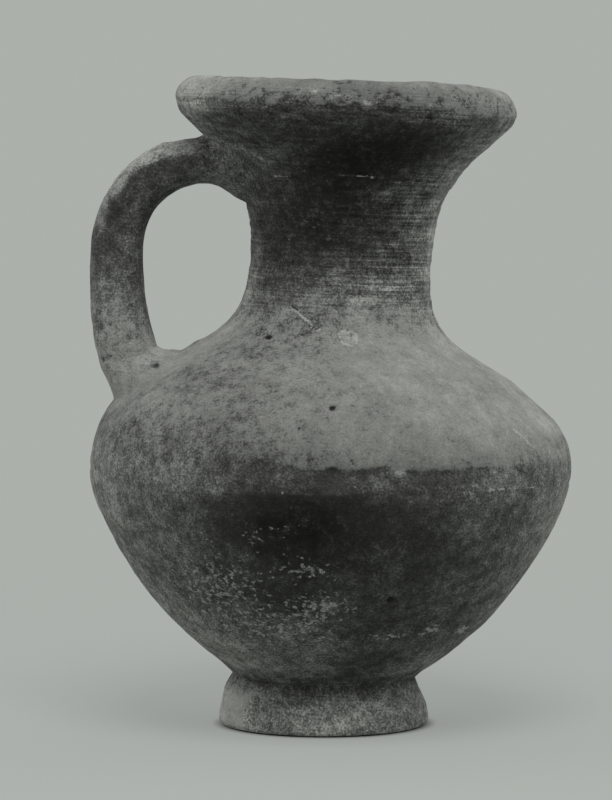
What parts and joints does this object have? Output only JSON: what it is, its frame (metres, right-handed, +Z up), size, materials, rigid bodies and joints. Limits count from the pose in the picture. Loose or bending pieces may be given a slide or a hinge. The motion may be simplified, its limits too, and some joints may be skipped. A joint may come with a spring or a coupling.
{
  "type": "clay jug",
  "caption": "Round-bodied clay jug on a ring foot, with a narrow neck, a flaring round mouth with a thick lip, and a strap handle from neck to shoulder for carrying and pouring.",
  "frame": {"origin": "middle of the foot ring's flat resting face", "axes": "+Z up, -X towards the handle, -Y towards the viewer of the side view"},
  "size_m": [0.1499, 0.15, 0.202],
  "materials": {
    "body_clay": "matt gritty fired clay with a pale deposit on the shoulder and a dark lower belly",
    "neck_clay": "matt fired clay with fine turning lines",
    "handle_clay": "matt gritty fired clay, smoothed by hand"
  },
  "bodies": {
    "root": {"foot_ring": "body_clay", "bowl": "body_clay", "shoulder": "body_clay", "neck": "neck_clay", "mouth": "neck_clay", "handle_strap": "handle_clay", "handle_upper_pad": "handle_clay", "handle_lower_pad": "handle_clay"}
  },
  "joints": []
}
